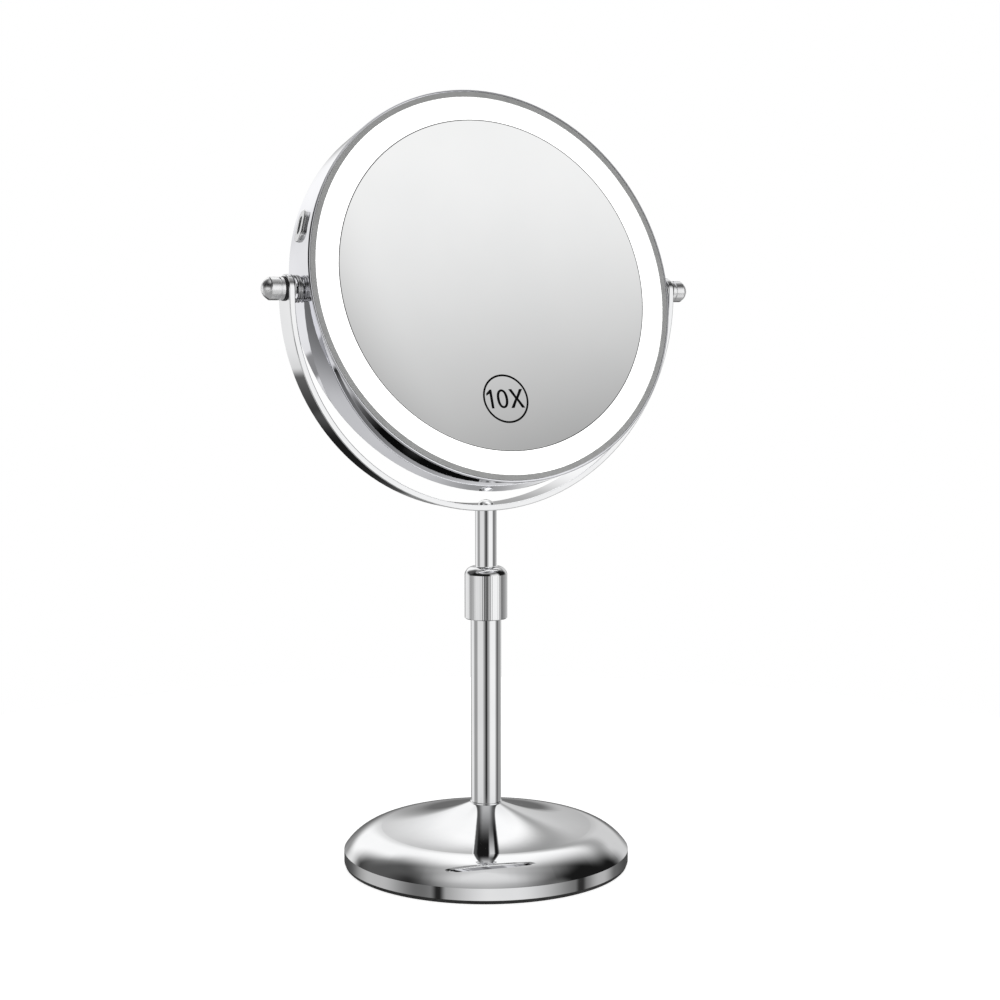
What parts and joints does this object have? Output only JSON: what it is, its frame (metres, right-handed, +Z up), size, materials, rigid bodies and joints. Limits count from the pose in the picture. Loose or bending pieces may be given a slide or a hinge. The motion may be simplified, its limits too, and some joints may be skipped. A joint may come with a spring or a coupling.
{
  "type": "lighted vanity mirror",
  "caption": "Round tilting vanity mirror with a magnifying face and a plain face, light rings, fork yoke, telescopic pole and weighted round base.",
  "frame": {"origin": "centre of the base's underside, on the table, on the pole's axis", "axes": "+Z up along the pole, +X to the right along the tilt pivots, -Y out of the magnifying face"},
  "size_m": [0.2418, 0.1478, 0.3978],
  "materials": {
    "polished_chrome": "polished plating",
    "satin_grey": "satin",
    "light_diffuser": "opal, lit from behind",
    "mirror_glass": "silvered glass",
    "black_rubber": "matte",
    "black_nylon": "matte",
    "white_nylon": "smooth",
    "cast_iron": "rough cast",
    "black_paint": "satin paint",
    "bright_steel": "zinc plated",
    "spring_steel": "plated wire",
    "white_plastic": "moulded",
    "circuit_board": "solder mask",
    "led_package": "moulded package",
    "battery_foil": "laminated foil"
  },
  "bodies": {
    "stand": {"foot_ring": "black_rubber", "base_plate": "black_paint", "plate_screws": "bright_steel", "base_weight": "cast_iron", "base_shell": "polished_chrome", "base_bolt_washer": "bright_steel", "base_bolt": "bright_steel", "pole_seat_ring": "polished_chrome", "pole_plug": "bright_steel", "outer_tube": "polished_chrome", "threaded_sleeve": "bright_steel", "collet": "white_nylon"},
    "lock_collar": {"lock_collar": "polished_chrome"},
    "slider": {"guide_bush": "white_nylon"},
    "yoke": {"inner_tube": "polished_chrome", "bush_clip": "bright_steel", "tube_end_plug": "white_nylon", "tube_top_insert": "bright_steel", "yoke": "polished_chrome", "yoke_screw": "polished_chrome", "left_arm_bush": "white_nylon", "right_arm_bush": "white_nylon", "left_spring_washer": "bright_steel", "right_spring_washer": "bright_steel"},
    "mirror_head": {"drum_housing": "polished_chrome", "chassis_plate": "white_plastic", "chassis_screws": "bright_steel", "front_light_tray": "white_plastic", "rear_light_tray": "white_plastic", "front_led_board": "circuit_board", "rear_led_board": "circuit_board", "front_leds": "led_package", "rear_leds": "led_package", "front_diffuser": "light_diffuser", "rear_diffuser": "light_diffuser", "front_bezel": "satin_grey", "rear_bezel": "satin_grey", "front_mirror": "mirror_glass", "rear_mirror": "mirror_glass", "battery": "battery_foil", "control_board": "circuit_board", "usb_socket": "bright_steel", "port_bezel": "polished_chrome", "switch_board": "circuit_board", "tact_switch": "black_nylon", "front_mirror_seal": "black_nylon", "rear_mirror_seal": "black_nylon", "left_pivot_stud": "bright_steel", "right_pivot_stud": "bright_steel", "left_pivot_nut": "bright_steel", "right_pivot_nut": "bright_steel", "left_pivot_spring": "spring_steel", "right_pivot_spring": "spring_steel"},
    "left_knob": {"left_knob": "polished_chrome", "left_knob_washer": "black_nylon"},
    "right_knob": {"right_knob": "polished_chrome", "right_knob_washer": "black_nylon"},
    "power_button": {"power_button": "polished_chrome"}
  },
  "joints": [
    {"name": "lock_collar_twist", "type": "hinge", "parent": "stand", "child": "lock_collar", "pos_m": [0, 0, 0.14], "axis": [0, 0, 1], "range_deg": [0, 120]},
    {"name": "height_slide", "type": "slide", "parent": "stand", "child": "slider", "axis": [0, 0, 1], "range_m": [-0.026, 0.043]},
    {"name": "yoke_swivel", "type": "hinge", "parent": "slider", "child": "yoke", "pos_m": [0, 0, 0.076], "axis": [0, 0, 1], "continuous": true},
    {"name": "mirror_tilt", "type": "hinge", "parent": "yoke", "child": "mirror_head", "pos_m": [0, 0, 0.2965], "axis": [1, 0, 0], "continuous": true},
    {"name": "left_knob_turn", "type": "hinge", "parent": "mirror_head", "child": "left_knob", "pos_m": [-0.115, 0, 0.2965], "axis": [-1, 0, 0], "range_deg": [0, 180]},
    {"name": "right_knob_turn", "type": "hinge", "parent": "mirror_head", "child": "right_knob", "pos_m": [0.115, 0, 0.2965], "axis": [1, 0, 0], "range_deg": [0, 180]},
    {"name": "power_button_press", "type": "slide", "parent": "mirror_head", "child": "power_button", "axis": [-0.9511, -0.0779, -0.299], "range_m": [0, 0.0008], "stiffness_N_per_m": 800, "springref_m": -0.0005}
  ]
}
